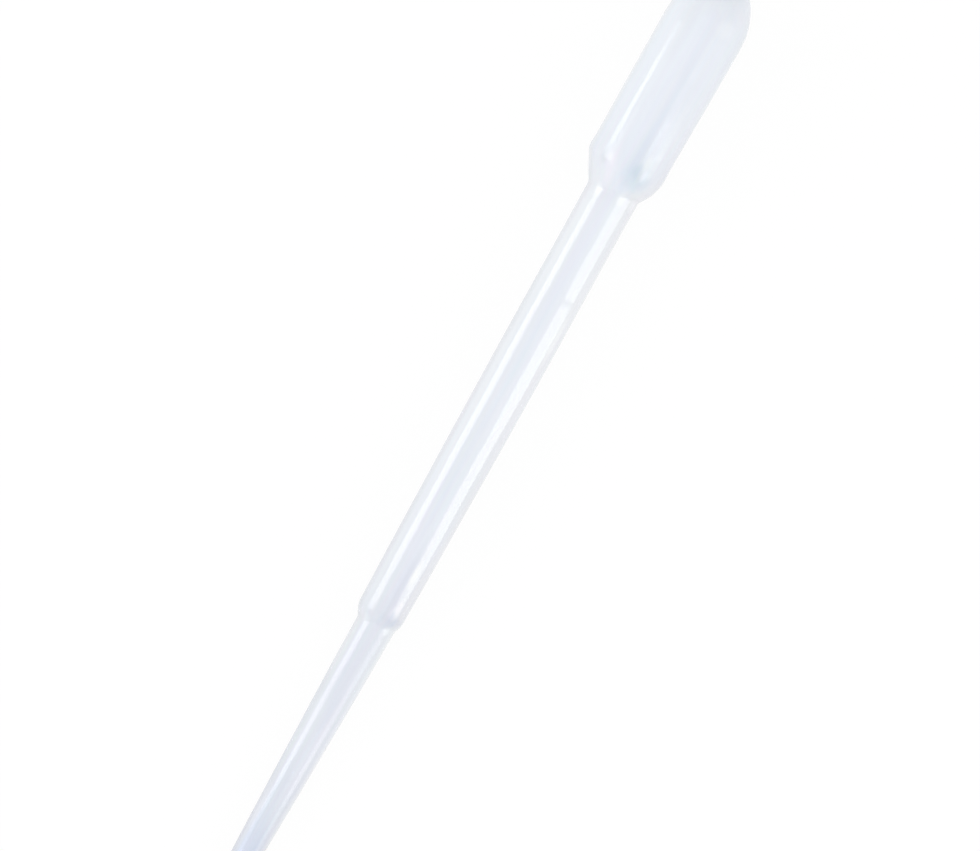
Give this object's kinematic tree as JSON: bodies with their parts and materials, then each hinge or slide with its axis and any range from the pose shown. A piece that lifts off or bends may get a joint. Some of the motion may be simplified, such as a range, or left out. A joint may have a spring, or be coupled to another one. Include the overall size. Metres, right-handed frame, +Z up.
{
  "type": "plastic dropper pipette",
  "caption": "Blown plastic dropper pipette: closed squeeze bulb, conical neck, hollow stem with a raised volume line, and a stepped-down tapered tip that is open at its end.",
  "frame": {"origin": "middle of the underside of the bounding box, on the surface that the pipette lies on", "axes": "+X along the pipette from the open tip towards the closed bulb, +Z up from the surface it lies on"},
  "size_m": [0.16, 0.0124, 0.0128],
  "materials": {
    "milky_polyethylene": "translucent milky low-density polyethylene, as moulded, soft gloss"
  },
  "bodies": {
    "root": {"pipette": "milky_polyethylene"}
  },
  "joints": []
}
